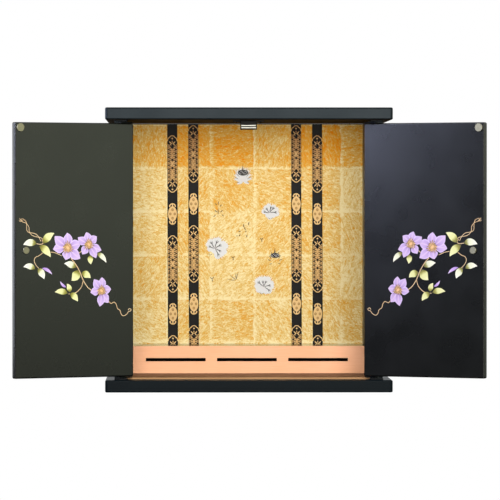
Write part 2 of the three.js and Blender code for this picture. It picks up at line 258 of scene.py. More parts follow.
def gold_leaf():
    values = {"Metallic": 0.5, "Roughness": 0.46, "Specular_IOR_Level": 0.1}
    material, tree, shader = new_material("crinkled gold leaf", **values)
    place = add_node(tree, "ShaderNodeTexCoord").outputs["Object"]
    axes = add_node(tree, "ShaderNodeSeparateXYZ", {"Vector": place}).outputs
    wander = object_noise(tree, WANDER_MM, detail=4.0, roughness=0.65)
    drift = calculate(tree, "MULTIPLY", wander, WANDER_REACH_MM * MM)

    # Which square, and how far inside it: a seam wanders a few millimetres from straight
    inside, squares = [], []
    for axis, start in zip("XZ", LEAF_START):
        moved = calculate(tree, "ADD", axes[axis], drift)
        shifted = calculate(tree, "SUBTRACT", moved, (start + WANDER_REACH_MM / 2) * MM)
        counted = calculate(tree, "DIVIDE", shifted, LEAF_MM * MM)
        inside.append(calculate(tree, "FRACT", counted))
        squares.append(calculate(tree, "FLOOR", counted))
    square = add_node(tree, "ShaderNodeCombineXYZ", {"X": squares[0], "Y": squares[1]})
    chance = add_node(tree, "ShaderNodeTexWhiteNoise", {"Vector": square.outputs[0]},
                      noise_dimensions="3D").outputs["Value"]

    # The crinkles of a square all run one way, so its coordinates are turned by its own angle
    angle = calculate(tree, "MULTIPLY", chance, math.tau)
    turned = add_node(tree, "ShaderNodeVectorRotate", {"Vector": place, "Angle": angle},
                      rotation_type="Y_AXIS")
    drawn = add_node(tree, "ShaderNodeMapping",
                     {"Vector": turned.outputs[0], "Scale": CRINKLE_STRETCH})
    crinkle_values = {"Vector": drawn.outputs[0], "Scale": 1 / (CRINKLE_MM * MM), "Detail": 4.0,
                      "Roughness": 0.75, "Distortion": 1.0}
    crinkle = add_node(tree, "ShaderNodeTexNoise", crinkle_values).outputs[0]
    cloud = object_noise(tree, CLOUD_MM, detail=5.0, roughness=0.65)
    speckle = object_noise(tree, SPECKLE_MM, detail=2.0)

    # Doubled leaf at a seam is lighter, with a ragged edge that fades out in places
    edges = []
    for share in inside:
        edges.append(remap(tree, share, 0.0, SEAM_MM / LEAF_MM, 1.0, 0.0,
                           interpolation_type="SMOOTHSTEP"))
    seam = calculate(tree, "MAXIMUM", *edges)
    doubled = calculate(tree, "MULTIPLY", seam, remap(tree, cloud, *SEAM_FADE))

    # One level drives the colour: crinkles, clouds, specks, the square's own tone and the seams
    level = calculate(tree, "MULTIPLY_ADD", crinkle, CRINKLE_CONTRAST, CRINKLE_OFFSET)
    for part, share in ((cloud, 0.6), (speckle, 0.7), (chance, 0.26), (doubled, 0.36)):
        level = calculate(tree, "MULTIPLY_ADD", part, share, level)

    # The topmost row is a deeper gold that sets in sharply at its lower seam; above that, painted shade
    # darkens it slowly towards the top board
    sharp = remap(tree, axes["Z"], *TOP_SHARP, last=SHARP_SHARE)
    top_shade = remap(tree, axes["Z"], *TOP_SHADE_RANGE, last=TOP_SHADE_SHARE)
    toned_and_shaded = calculate(tree, "SUBTRACT", level, calculate(tree, "ADD", sharp, top_shade))
    tone = ramp(tree, remap(tree, toned_and_shaded, 0.0, LEVEL_TOP),
                [(0.1, "#d47300"), (0.38, "#c98d20"), (0.62, "#c9a962"), (0.86, "#dacb9c")])

    # The leaf ends behind the step, where the panel is left black
    leafed = calculate(tree, "GREATER_THAN", axes["Z"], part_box("step_top")[0][2])
    laid = mix_colours(tree, leafed, hex_colour("#0a0806"), tone)
    tree.links.new(laid, shader.inputs["Base Color"])
    bump(tree, shader, level, CRINKLE_DEPTH_MM, 0.6)
    return material


dress(["gold_panel"], gold_leaf())

# %% [markdown]
# ## Copper-coloured front and floor
# The step's front and the thin floor sheet are laid with a copper-coloured metal film with a
# satin surface. Fine scratches from rolling run along it, so the noise is stretched sideways.
# The film on the floor is a browner and duller copy: its darker colour is painted shade under
# the step and the top board. Its front edge has a paler tone of its own and catches the light as
# a pale line.

# %% Copper-coloured film
ROLLED_MM, ROLLED_DEPTH_MM = 1.2, 0.01
ROLLED_STRETCH = (0.04, 1, 1)
FILM_CLOUD_MM = 70.0


def copper_film(name, colours, roughness, metallic=0.55, mirror=0.5):
    values = {"Metallic": metallic, "Roughness": roughness, "Specular_IOR_Level": mirror}
    material, tree, shader = new_material(name, **values)
    rolled = object_noise(tree, ROLLED_MM, stretch=ROLLED_STRETCH, detail=3.0)
    cloud = object_noise(tree, FILM_CLOUD_MM, detail=2.0)
    average = calculate(tree, "MULTIPLY", calculate(tree, "ADD", rolled, cloud), 0.5)
    tree.links.new(two_tones(tree, average, colours), shader.inputs["Base Color"])
    bump(tree, shader, rolled, ROLLED_DEPTH_MM, 0.5)
    return material


step_film = copper_film("copper film on the step", ("#bc8965", "#c69576"), 0.38)
floor_film_painted_shade = copper_film("darker copper film on the floor, painted shade", ("#6e4420", "#784c26"), 0.5, 0.35, 0.25)
pale_edge = copper_film("cut edge of the copper film", ("#94704a", "#a27d58"), 0.5)
dress(["step_front"], step_film)
dress(["floor_sheet"], floor_film_painted_shade)
dress_side("floor_sheet", pale_edge, lambda normal: normal.y < -0.5)

# %% [markdown]
# ## Small metal and plastic
# The catch is moulded black plastic with a fine grain, and its two strips are bright steel,
# brushed sideways. The discs on the doors are dull nickel with a yellowish cast, and the hinges
# and knobs are blackened steel that only shows a faint sheen.

# %% Hardware finishes
GRAIN_MM, GRAIN_DEPTH_MM = 0.6, 0.02
MARKS_MM, MARKS_DEPTH_MM = 0.8, 0.01
SHEEN_CHANGE = 0.08  # how far the marks move a metal's roughness up and down


def grained_plastic():
    values = {"Base_Color": hex_colour("#050505"), "Roughness": 0.5, "Specular_IOR_Level": 0.15}
    material, tree, shader = new_material("grained black plastic", **values)
    bump(tree, shader, object_noise(tree, GRAIN_MM), GRAIN_DEPTH_MM, 0.7)
    return material


def worn_metal(name, colours, roughness, grain=(1, 1, 1)):
    """Metal whose colour and sheen change with fine marks; grain stretches these."""
    material, tree, shader = new_material(name, Metallic=1.0)
    marks = object_noise(tree, MARKS_MM, stretch=grain, detail=4.0)
    tree.links.new(two_tones(tree, marks, colours), shader.inputs["Base Color"])
    sheen = remap(tree, marks, 0.0, 1.0, roughness - SHEEN_CHANGE, roughness + SHEEN_CHANGE)
    tree.links.new(sheen, shader.inputs["Roughness"])
    bump(tree, shader, marks, MARKS_DEPTH_MM, 0.5)
    return material


bright_steel = worn_metal("brushed bright steel", ("#7e7e7a", "#96968f"), 0.4, (0.05, 1, 1))
dull_nickel = worn_metal("dull nickel plate", ("#77735f", "#959078"), 0.5)
black_steel = worn_metal("blackened steel", ("#101112", "#1a1c1e"), 0.4)
dress(["catch_body"], grained_plastic())
dress(["catch_pole_upper", "catch_pole_lower"], bright_steel)
dress([name for name in nodes if name.startswith(("strike_disc", "knob_cap"))], dull_nickel)
dress([name for name in nodes if name.startswith(("hinge_", "knob_left", "knob_right"))], black_steel)

# %% [markdown]
# ## Small screws
# Two pan-head screws hold the catch by its ears. The hinge plates have almost no room above them,
# so their screws are countersunk, and the heads lie flush. Each head has a dark cross, which is
# painted shade in its recess.

# %% Screw heads
HEAD_MM, HEAD_TAPER = 1.9, 0.6
CROSS_MM = (2.2, 0.55, 0.3)
CROSS_SUNK_MM = 0.1
PAN_MM, FLUSH_MM = 0.9, 0.1  # how far a head stands out
EAR_SCREW_MM = (18.0, 6.0, 2.4)  # across from the middle, from the catch's back, and down its ear
PLATE_MM = 1.6
HINGE_SCREWS_MM = (5.5, 10.5)  # from the hinge pin

# The cross's dark colour is painted shade in the recess.
cross_shade = plain_material("painted shade in a screw's cross", "#050505", Roughness=0.8)


def finish_faces(verts, finish):
    """Gives the faces at these vertices one of their mesh's materials, by its number."""
    for face in {face for vert in verts for face in vert.link_faces}:
        face.material_index = finish


def door_joint(side):
    return next(joint for joint in frame["joints"] if joint["child"] == f"{side}_door")


def screws(name, places, height):
    """One piece with a head at each place; its fourth number is 1 for up and -1 for down."""
    heads = bmesh.new()
    for x, y, z, way in places:
        radii = (HEAD_MM, HEAD_TAPER * HEAD_MM)[::way]
        middle = Matrix.Translation((x, y, z + way * height / 2))
        bmesh.ops.create_cone(heads, cap_ends=True, segments=24, radius1=radii[0], radius2=radii[1],
                              depth=height, matrix=middle)
        for turn in (0, 90):
            size = Matrix.Rotation(math.radians(turn), 4, "Z") @ Matrix.Diagonal((*CROSS_MM, 1))
            face = Matrix.Translation((x, y, z + way * (height - CROSS_SUNK_MM)))
            cross = bmesh.ops.create_cube(heads, size=1, matrix=face @ size)
            finish_faces(cross["verts"], 1)
    heads.transform(Matrix.Scale(MM, 4))
    mesh = bpy.data.meshes.new(name)
    heads.to_mesh(mesh)
    heads.free()
    mesh.materials.append(black_steel)
    mesh.materials.append(cross_shade)
    piece = bpy.data.objects.new(name, mesh)
    bpy.context.scene.collection.objects.link(piece)
    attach(piece, "cabinet")
    print(name, "has", len(places), "screws")


low, high = (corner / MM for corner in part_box("catch_body"))
across, back, down = EAR_SCREW_MM
ear_places = [(side * across, high.y - back, high.z - down, -1) for side in (-1, 1)]
screws("catch_screws", ear_places, PAN_MM)

plate_places = []
for side in ("left", "right"):
    for end, way in (("upper", -1), ("lower", 1)):
        low, high = (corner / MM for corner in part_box(f"hinge_board_plate_{end}_{side}"))
        seat = high.z - PLATE_MM if way < 0 else low.z + PLATE_MM
        pivot = door_joint(side)["pos_m"][0] / MM
        inward = 1 if high.x - pivot > pivot - low.x else -1
        for reach in HINGE_SCREWS_MM:
            plate_places.append((pivot + inward * reach, (low.y + high.y) / 2, seat, way))
screws("hinge_screws", plate_places, FLUSH_MM)

# %% [markdown]
# ## Brush strokes
# All the ornament is paint, laid in strokes. A stroke is a flat grid bent along a path: the long
# way follows the path, and the width changes on the way, so the same function makes a petal, a
# leaf, a vine or a thin gold line. Later strokes lie a hair higher than earlier ones, and all
# reach a little way into the surface, so that each is a closed plate of paint.

# %% A stroke along a path
LAYER_MM = 0.05  # how much higher each layer of paint lies than the one before
PAINT_DEPTH_MM = 0.3
WELD_MM = 0.002  # a stroke's corners that meet at its pointed ends are joined


def new_painting():
    painting = bmesh.new()
    painting.loops.layers.uv.new("stroke")
    return painting


def square_to(path, t, reach=0.01):
    """The direction square to a path at t, from two points a little before and after."""
    ahead = path(min(t + reach, 1)) - path(max(t - reach, 0))
    return Vector((-ahead.y, ahead.x)).normalized()


def stroke(painting, path, width, layer, finish, steps=8, across=2):
    """Bends a grid along path(t) with width(t), in millimetres; t runs from 0 to 1.

    The layer says how high it lies, and finish is the number of its paint.
    """
    grid = bmesh.ops.create_grid(painting, x_segments=steps, y_segments=across, size=1, calc_uvs=True)
    for vert in grid["verts"]:
        t = (vert.co.x + 1) / 2
        side = vert.co.y
        flat = path(t) + square_to(path, t) * side * width(t) / 2
        vert.co = (flat.x, flat.y, (layer + 1) * LAYER_MM)
    finish_faces(grid["verts"], finish)
    bmesh.ops.remove_doubles(painting, verts=grid["verts"], dist=WELD_MM)


def line_path(start, end, bend=0.0):
    """A line between two points, bent sideways by a share of its length."""
    start, end = Vector(start), Vector(end)
    side = Vector((start.y - end.y, end.x - start.x)) * bend
    return lambda t: start.lerp(end, t) + side * 4 * t * (1 - t)


def smooth_path(points):
    """A smooth curve through the points, with a cubic step between each two."""
    points = [Vector(point) for point in points]
    padded = [2 * points[0] - points[1], *points, 2 * points[-1] - points[-2]]

    def path(t):
        place = min(t, 0.9999) * (len(points) - 1)
        index, f = int(place), place - int(place)
        a, b, c, d = padded[index : index + 4]
        square = (2 * a - 5 * b + 4 * c - d) * f**2
        cubic = (3 * b - a - 3 * c + d) * f**3
        return 0.5 * (2 * b + (c - a) * f + square + cubic)

    return path


def even(width):
    return lambda t: width


def leaf_width(width, belly=1.0, fullness=0.85):
    """Nothing at both ends, and widest where belly puts it: 1 is the middle, more is later."""
    return lambda t: width * max(math.sin(math.pi * t**belly), 0) ** fullness


def tapered(width, end_share):
    return lambda t: width * (1 - (1 - end_share) * t)


def dot(painting, centre, radius, layer, finish, stretch=1.0):
    """A filled round or oval spot."""
    size = Matrix.Diagonal((radius, radius * stretch, 1, 1))
    place = Matrix.Translation((*centre, (layer + 1) * LAYER_MM)) @ size
    circle = bmesh.ops.create_circle(painting, cap_ends=True, segments=16, radius=1, matrix=place,
                                     calc_uvs=True)
    finish_faces(circle["verts"], finish)


def finish_painting(painting, name, materials, place, body):
    """Makes the painting one object, lays it on its surface by place, and lets it ride there."""
    painting.transform(place @ Matrix.Scale(MM, 4))
    mesh = bpy.data.meshes.new(name)
    bmesh.ops.recalc_face_normals(painting, faces=painting.faces[:])
    outward = place.to_3x3() @ Vector((0, 0, 1))
    inward_faces = [face for face in painting.faces if face.normal.dot(outward) < 0]
    bmesh.ops.reverse_faces(painting, faces=inward_faces)
    painting.to_mesh(mesh)
    painting.free()
    for material in materials:
        mesh.materials.append(material)
    piece = bpy.data.objects.new(name, mesh)
    bpy.context.scene.collection.objects.link(piece)
    solid = piece.modifiers.new("paint depth", "SOLIDIFY")
    solid.thickness = PAINT_DEPTH_MM * MM
    solid.offset = -1
    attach(piece, body)
    print(name, "has", len(mesh.polygons), "faces")


# %% [markdown]
# ## Paints
# The doors' flowers are painted in soft lilac that pales towards the petals' edges, with tan
# stamens. Their leaves run from olive at the stalk to pale yellow or white at the tip. Each
# stroke carries its own UV map, so a colour can change along and across it. All the paint dries
# to a soft sheen, with faint brush streaks along the stroke.

# %% Paint materials
STREAK_SCALE = (1.5, 14, 1)  # streaks along and across a stroke
STREAK_DEPTH_MM = 0.03
MIDRIB = (0.1, 0.02)  # away from a stroke's middle: where the midrib starts, and where it is full
RIM = (0.36, 0.48)


def stroke_paint(name, stops, streak=0.25, midrib=None, rim=None):
    """Paint whose colour changes along its stroke, with fine brush streaks across it."""
    material, tree, shader = new_material(name, Roughness=0.5)
    stroke_map = add_node(tree, "ShaderNodeUVMap", uv_map="stroke").outputs["UV"]
    axes = add_node(tree, "ShaderNodeSeparateXYZ", {"Vector": stroke_map}).outputs
    drawn = add_node(tree, "ShaderNodeMapping", {"Vector": stroke_map, "Scale": STREAK_SCALE})
    noise_values = {"Vector": drawn.outputs[0], "Scale": 1.0, "Detail": 3.0}
    streaks = add_node(tree, "ShaderNodeTexNoise", noise_values).outputs[0]
    spread = remap(tree, streaks, 0.0, 1.0, -streak / 2, streak / 2)
    colour = ramp(tree, calculate(tree, "ADD", axes["X"], spread), stops)
    if midrib:
        away = calculate(tree, "ABSOLUTE", calculate(tree, "SUBTRACT", axes["Y"], 0.5))
        for reach, tint in ((MIDRIB, midrib), (RIM, rim)):
            colour = mix_colours(tree, remap(tree, away, *reach), colour, hex_colour(tint))
    tree.links.new(colour, shader.inputs["Base Color"])
    bump(tree, shader, streaks, STREAK_DEPTH_MM, 0.5)
    return material


petal_paint = stroke_paint("lilac petal paint",
                           [(0.1, "#9476b8"), (0.4, "#b296d2"), (1.0, "#c6aede")],
                           midrib="#ccb0da", rim="#d3bcf0")
bud_paint = stroke_paint("lilac bud paint", [(0.0, "#9878c0"), (0.5, "#b896de"), (1.0, "#d8c4ee")])
centre_paint = stroke_paint("tan stamen paint", [(0.0, "#e6ba8c"), (0.5, "#d2a470"), (0.9, "#74592e")])
pale_leaf_paint = stroke_paint("pale leaf paint", [(0.05, "#57520a"), (0.24, "#8f8a30"),
                                                   (0.42, "#cfd090"), (1.0, "#dedcae")])
white_leaf_paint = stroke_paint("white leaf paint", [(0.05, "#57520a"), (0.22, "#8d8a3c"),
                                                     (0.36, "#cfd2ba"), (1.0, "#e6e5de")])
vine_paint = stroke_paint("vine paint", [(0.0, "#c4a27a"), (1.0, "#dabd96")])
SPRAY_PAINTS = [petal_paint, bud_paint, centre_paint, pale_leaf_paint, white_leaf_paint, vine_paint]
PETAL, BUD, CENTRE, PALE_LEAF, WHITE_LEAF, VINE = range(len(SPRAY_PAINTS))
print("paints for the sprays:", len(SPRAY_PAINTS))

# %% [markdown]
# ## The spray on a door
# A twining spray with three open flowers runs down each door, and the two doors mirror each
# other. Points on a door are given as the distance from its hinge end and the height above
# the table. The hinge's joint says where that is in the room.

# %% Flowers, leaves and vines
VINE_MM = 1.05
STRAND_MM = 0.8
STAMEN_MM = 1.7
STAMEN_TIERS = ((17, 1.04), (15, 0.8), (11, 0.52))  # their number, and their share of the tuft


def polar(angle, length):
    """The vector of a length, turned by an angle in degrees from the x axis."""
    return Vector((length * math.cos(math.radians(angle)), length * math.sin(math.radians(angle))))


def flower(painting, centre, petals, petal_mm, tuft_mm):
    """An open flower: six pointed petals, given as angle and length, round a tuft of stamens."""
    centre = Vector(centre)
    for index, (angle, length) in enumerate(petals):
        reach = polar(angle, length)
        path = line_path(centre + 0.15 * reach, centre + reach, 0.04 * (-1) ** index)
        width = leaf_width(1.04 * petal_mm, 0.95, 0.97)
        petal_layer = 2 + 0.3 * (index % 2) + 0.1 * index
        stroke(painting, path, width, petal_layer, PETAL, steps=14, across=6)
    dot(painting, centre, 0.62 * tuft_mm, 4, CENTRE)
    for tier, (number, share) in enumerate(STAMEN_TIERS):
        for stamen in range(number):
            uneven = 1 + 0.2 * math.sin(5.1 * stamen + tier)
            tip = centre + polar((stamen + tier / 2) * 360 / number, tuft_mm * share * uneven)
            path = line_path(centre, tip, 0.08)
            layer = 4.4 + 0.9 * tier + 0.04 * stamen
            stroke(painting, path, leaf_width(STAMEN_MM, 1.9, 0.6), layer, CENTRE, steps=5)


def leaf(painting, base, tip, width, finish, bend=0.1):
    path = line_path(base, tip, bend)
    stroke(painting, path, leaf_width(width, 0.85, 1.0), 3, finish, steps=14, across=6)


def vine(painting, points, width=VINE_MM):
    path = smooth_path(points)
    stroke(painting, path, tapered(width, 0.75), 1, VINE, steps=6 * len(points), across=1)


def twisted_vines(painting, points, reach, crossings):
    """Two thin strands that swing to either side of a path and cross again and again."""
    middle = smooth_path(points)
    for side in (-1, 1):
        def strand(t, side=side):
            swing = square_to(middle, t, 0.02) * side * reach
            return middle(t) + swing * math.sin(math.pi * crossings * t)

        stroke(painting, strand, even(STRAND_MM), 1 + (side > 0), VINE, steps=50, across=1)


# %% The whole spray
def draw_spray(painting):
    """The spray of the left door, seen from inside: x from the hinge end, y above the table."""
    flower(painting, (110.5, 217.7),
           [(88, 22.4), (38.5, 28), (-5, 25), (-78, 18.5), (-143, 27), (165, 23.5)], 15, 9.2)
    flower(painting, (74.5, 222.4),
           [(76, 19), (139, 18.3), (-158, 23.3), (-121, 24), (-54, 18.4), (30, 21.4)], 12.5, 8)
    flower(painting, (52.9, 153),
           [(92, 20.3), (173, 16.6), (-124, 22), (-83, 24), (-8, 19), (54, 21.6)], 12.5, 7.8)
    # The twin tendril at the free edge, and the small fork at its end
    twisted_vines(painting, [(190, 259), (187, 258.8), (181, 255.5), (178, 249), (177, 243), (172, 239),
                             (165, 236.4), (158.4, 233), (154, 229)], 2.1, 3.5)
    vine(painting, [(186, 257.5), (190, 259.5), (191.5, 261.5)], 0.8)
    vine(painting, [(186, 258), (190, 257), (192, 258.5)], 0.7)
    # Leaves where the tendril meets the first flower's stalk
    leaf(painting, (151.8, 224), (133.1, 239.5), 11.5, PALE_LEAF, -0.1)
    leaf(painting, (163, 223.6), (185.5, 222.3), 10.5, WHITE_LEAF, 0.12)
    leaf(painting, (158.6, 220.5), (139.5, 203.8), 11.5, PALE_LEAF, -0.1)
    vine(painting, [(154, 230), (152, 225), (156, 223), (164, 224)], 1.1)
    vine(painting, [(139, 211.5), (131, 210), (121, 206)])
    # The short branch under the upper leaves, with two leaves and a bud
    vine(painting, [(153, 210), (159, 206), (165, 203.5), (167, 198), (164, 192), (159, 187)])
    leaf(painting, (165.5, 186), (185.4, 189.5), 9, WHITE_LEAF, 0.14)
    leaf(painting, (161.5, 186.5), (150.3, 171), 10.5, WHITE_LEAF, -0.1)
    leaf(painting, (154, 187.5), (136.8, 178), 4.6, BUD, -0.1)
    # Leaves and stalk by the second flower
    vine(painting, [(92, 209), (86, 213)])
    leaf(painting, (70.5, 206.5), (70.5, 192.7), 9, PALE_LEAF, 0.1)
    leaf(painting, (61, 209), (44.8, 194.9), 7.6, WHITE_LEAF, -0.12)
    # The main stem, with three leaves, down to the third flower
    vine(painting, [(105, 202), (97, 193), (90, 182), (84, 169), (77, 159), (69, 153)], 1.4)
    leaf(painting, (96.3, 188), (116.3, 194.2), 10, WHITE_LEAF, 0.08)
    leaf(painting, (93, 184.5), (104, 168.5), 14, PALE_LEAF, -0.1)
    leaf(painting, (87.5, 179), (71.4, 172), 10.5, PALE_LEAF, -0.12)
    # A side branch with three leaves and a bud
    vine(painting, [(84, 169), (85.5, 163), (88, 158), (95, 151.5), (102, 149), (109, 148.7)], 1.1)
    leaf(painting, (110.5, 149.3), (132.4, 151.5), 8.8, PALE_LEAF, 0.1)
    leaf(painting, (106.9, 149), (93.4, 137.2), 9.6, PALE_LEAF, -0.12)
    leaf(painting, (113, 158.8), (123.2, 167.6), 3.8, BUD, -0.1)
    leaf(painting, (107.3, 151), (112, 163.9), 8.2, PALE_LEAF, 0.12)
    # The lower tendril, which ends in a curl
    vine(painting, [(40, 136.7), (36.5, 133.7), (31.2, 135.6), (27.4, 132), (25.4, 126), (21, 123),
                    (19, 117.5), (15, 114.8), (9.5, 117.3), (6.5, 121), (3, 122), (2, 124.5),
                    (5.4, 125.4), (7, 123.2)], 1.1)


# %% Paint the sprays on both doors
SPRAY_FROM_PIVOT = 11.5  # how far behind the hinge pin the spray's x starts, in millimetres
PIVOT_FROM_FACE = 6.0  # the hinge pin to the door's inner face
SPRAY_SHIFT = {"left": (0.0, 0.0), "right": (2.5, 0.9)}  # the right one sits further out and higher


def door_place(side):
    """Lays the flat painting on a door's inner face, mirrored for the right door."""
    joint = door_joint(side)
    outward = 1 if side == "left" else -1
    closing = max(joint["range_deg"], key=abs)
    turn = Matrix.Rotation(math.radians(-closing), 4, "Z")
    out, up = SPRAY_SHIFT[side]
    start = -outward * (SPRAY_FROM_PIVOT - out)
    upright = Matrix(((outward, 0, 0, start), (0, 0, 1, PIVOT_FROM_FACE), (0, 1, 0, up), (0, 0, 0, 1)))
    upright.translation *= MM
    hinge_x, hinge_y, _ = joint["pos_m"]
    return Matrix.Translation((hinge_x, hinge_y, 0)) @ turn @ upright


for side in SPRAY_SHIFT:
    painting = new_painting()
    draw_spray(painting)
    name = f"painted_spray_{side}"
    finish_painting(painting, name, SPRAY_PAINTS, door_place(side), f"{side}_door")

# %% [markdown]
# ## Ornament strips on the gold
# Four narrow black bands run down the gold panel. Long lacework figures and small medallions
# take turns on them, painted in gold. Towards the top board the gold paints turn browner, which
# is painted shade. The medallions' petals are a darker, brown gold. A figure's end is drawn once
# for its top and once upside down, and the finished figure is stamped down every band.

# %% Figures and medallions
STRIP_MM = 16.0
FIGURE_MM = 89.0
MEDALLION_MM = 34.0
BLACK_GAP_MM = 17.1
CAP_MM = 22.0  # the pointed black shield at each end of a figure
LACE_START_MM = 14.0  # the lacework starts under the shield's shoulders
ROW_MM = 3.1
BLACK_RIM_MM = 0.8  # black left on each side of a figure
PAINTED_SHADE_HEIGHTS = (0.35, 0.46)  # in metres: the painted shade starts to turn the gold paints browner, and is deepest
FLECK_MM, FLECK_REACH = 2.0, 0.08
BAND_GRAIN_MM, BAND_DEPTH_MM = 1.5, 0.02


def painted_gold(name, painted_shade_colour, own_colour, roughness):
    """Gold paint with painted shade: it turns browner towards the panel's top."""
    material, tree, shader = new_material(name, Metallic=0.35, Roughness=roughness)
    place = add_node(tree, "ShaderNodeTexCoord").outputs["Object"]
    height = add_node(tree, "ShaderNodeSeparateXYZ", {"Vector": place}).outputs["Z"]
    flecked = calculate(tree, "MULTIPLY_ADD", object_noise(tree, FLECK_MM), FLECK_REACH, height)
    tone = ramp(tree, remap(tree, flecked, *PAINTED_SHADE_HEIGHTS), [(0.0, own_colour), (1.0, painted_shade_colour)])
    tree.links.new(tone, shader.inputs["Base Color"])
    return material


black_values = {"Base_Color": hex_colour("#090806"), "Roughness": 0.4, "Specular_IOR_Level": 0.1}
black_paint, black_tree, black_shader = new_material("satin black paint", **black_values)
bump(black_tree, black_shader, object_noise(black_tree, BAND_GRAIN_MM), BAND_DEPTH_MM, 0.5)
STRIP_PAINTS = [black_paint,
                painted_gold("painted gold line", "#a27436", "#d0ac70", 0.45),
                painted_gold("painted dark gold", "#88521c", "#c49a5a", 0.5),
                painted_gold("painted brown gold", "#5c3814", "#8e6c36", 0.5)]
BLACK_BAND, GOLD_LINE, DARK_GOLD, BROWN_TINT = range(len(STRIP_PAINTS))
print("paints for the strips:", len(STRIP_PAINTS))


def shield_width(t):
    """Outline of the black shield at a figure's end: a rounded arch above, a point below."""
    arch = math.sin(math.pi / 2 * min(t / 0.3, 1)) ** 1.4
    point = min((1 - t) / 0.42, 1)
    return (STRIP_MM - 2 * BLACK_RIM_MM) * min(arch, point)


def figure_end(painting, top, down):
    """One end of a figure: shield, outline, dot, winged flower and drops; down is -1 or 1."""
    def at(x, y):
        return (x, top + down * y)

    shield = line_path(at(0, 0), at(0, CAP_MM))
    stroke(painting, shield, shield_width, 3, BLACK_BAND, steps=20, across=1)
    for side in (-1, 1):
        arch = [(7.4, 8.6), (7.2, 6.0), (5.9, 3.7), (4.2, 2.7), (2.6, 0.8), (0, 0)]
        stroke(painting, smooth_path([at(side * x, y) for x, y in arch]), even(1.25), 4, GOLD_LINE, 14, 1)
        stroke(painting, line_path(at(side * 7.3, 13.2), at(0, CAP_MM)), even(0.8), 4, DARK_GOLD, 4, 1)
        wing = smooth_path([at(side * 0.2, 12.6), at(side * 2.6, 11.4), at(side * 4.9, 8.6)])
        stroke(painting, wing, leaf_width(1.6, 1.2), 4, GOLD_LINE, 8, 2)
        lower_wing = line_path(at(0, 12.4), at(side * 4.3, 16.0), 0.12 * side)
        stroke(painting, lower_wing, leaf_width(1.4, 1.1), 4, GOLD_LINE, 6, 2)
    dot(painting, at(0, 4.6), 1.25, 4, GOLD_LINE)
    stroke(painting, line_path(at(0, 7.6), at(0, 11.8)), leaf_width(1.5, 1.0), 5, DARK_GOLD, 6, 2)


def lacework(painting, top, length):
    """A gold ground pierced by rows of black spots, with small bright leaves between them."""
    ground = line_path((0, top), (0, top - length))
    stroke(painting, ground, even(STRIP_MM - 2 * BLACK_RIM_MM), 1, DARK_GOLD, 1, 1)
    for row in range(int(length / ROW_MM)):
        odd = row % 2
        y = top - (row + 0.5) * ROW_MM
        dot(painting, (0, y), 0.55, 2, GOLD_LINE if odd else BLACK_BAND)
        for side in (-1, 1):
            dot(painting, (side * 5.5, y), 0.8 if odd else 1.4, 2.5, BLACK_BAND)
            dot(painting, (side * 2.7, y - ROW_MM / 2), 0.95, 2, BLACK_BAND)
            dot(painting, (side * 4.6, y + ROW_MM / 2), 0.6, 2, BLACK_BAND)
            tip = (side * (4.5 if odd else 1.1), y - 1.2)
            sprig = line_path((side * 3.3, y + 1.0), tip, 0.2)
            stroke(painting, sprig, leaf_width(0.9), 3, GOLD_LINE, 4, 1)
    for side in (-1, 1):
        edge = side * (STRIP_MM / 2 - 1.0)
        border = line_path((edge, top), (edge, top - length))
        stroke(painting, border, even(0.45), 2, DARK_GOLD, 1, 1)


def figure_heart(painting, height):
    """The heart of a long figure: a bright cross between two black lozenges."""
    for turn in (45, 135, 225, 315):
        angle = math.radians(turn)
        tip = (4.0 * math.cos(angle), height + 5.6 * math.sin(angle))
        stroke(painting, line_path((0, height), tip), leaf_width(1.7, 1.2), 5, GOLD_LINE, 6, 2)
    for side in (-1, 1):
        lozenge = line_path((0, height + side * 4.0), (0, height + side * 8.8))
        stroke(painting, lozenge, lambda t: 4.4 * (1 - abs(2 * t - 1)), 4, BLACK_BAND, 4, 1)
        for across in (-1, 1):
            dot(painting, (across * 5.1, height + side * 11.5), 1.1, 4, BLACK_BAND)
    dot(painting, (0, height), 1.4, 6, GOLD_LINE)


def medallion(painting, height):
    """An oval with four dark petals, and a crescent on a short stem at each end."""
    for side in (-1, 1):
        half = [(4.4, 11.0), (4.2, 13.3), (2.4, 15.3)]
        points = [(-x, y) for x, y in half] + [(0, 15.9)] + half[::-1]
        crescent = smooth_path([(x, height + side * y) for x, y in points])
        stroke(painting, crescent, even(1.8), 1, GOLD_LINE, 20, 1)
        stroke(painting, line_path((0, height), (0, height + side * 16)), even(1.8), 2, GOLD_LINE, 2, 1)
    dot(painting, (0, height), 7.0, 4, GOLD_LINE, 1.74)
    for x, y in ((0, 6.6), (0, -6.6), (-3.5, 0), (3.5, 0)):
        dot(painting, (x, height + y), 1.9, 5, BROWN_TINT, 1.15)
        dot(painting, (x, height + y), 0.9, 6, DARK_GOLD, 0.9)


# %% Paint the strips
STRIP_TOPS = {-114.5: 390.5, -81.5: 406.3, 80.2: 406.3, 113.3: 390.5}  # middle: first figure's top
LEAN = math.radians(0.2)  # the strips lean a hair to the left


def lay_on_panel():
    """The painting's x runs across, its y upwards and its height towards the doors."""
    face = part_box("gold_panel")[0][1]
    return Matrix(((1, 0, 0, 0), (0, 0, -1, face), (0, 1, 0, 0), (0, 0, 0, 1)))


unit = new_painting()
for end, down in ((0, -1), (-FIGURE_MM, 1)):
    figure_end(unit, end, down)
lacework(unit, -LACE_START_MM, FIGURE_MM - 2 * LACE_START_MM)
figure_heart(unit, -FIGURE_MM / 2)
medallion(unit, -FIGURE_MM - BLACK_GAP_MM - MEDALLION_MM / 2)
stamp = bpy.data.meshes.new("figure and medallion")
unit.to_mesh(stamp)
unit.free()

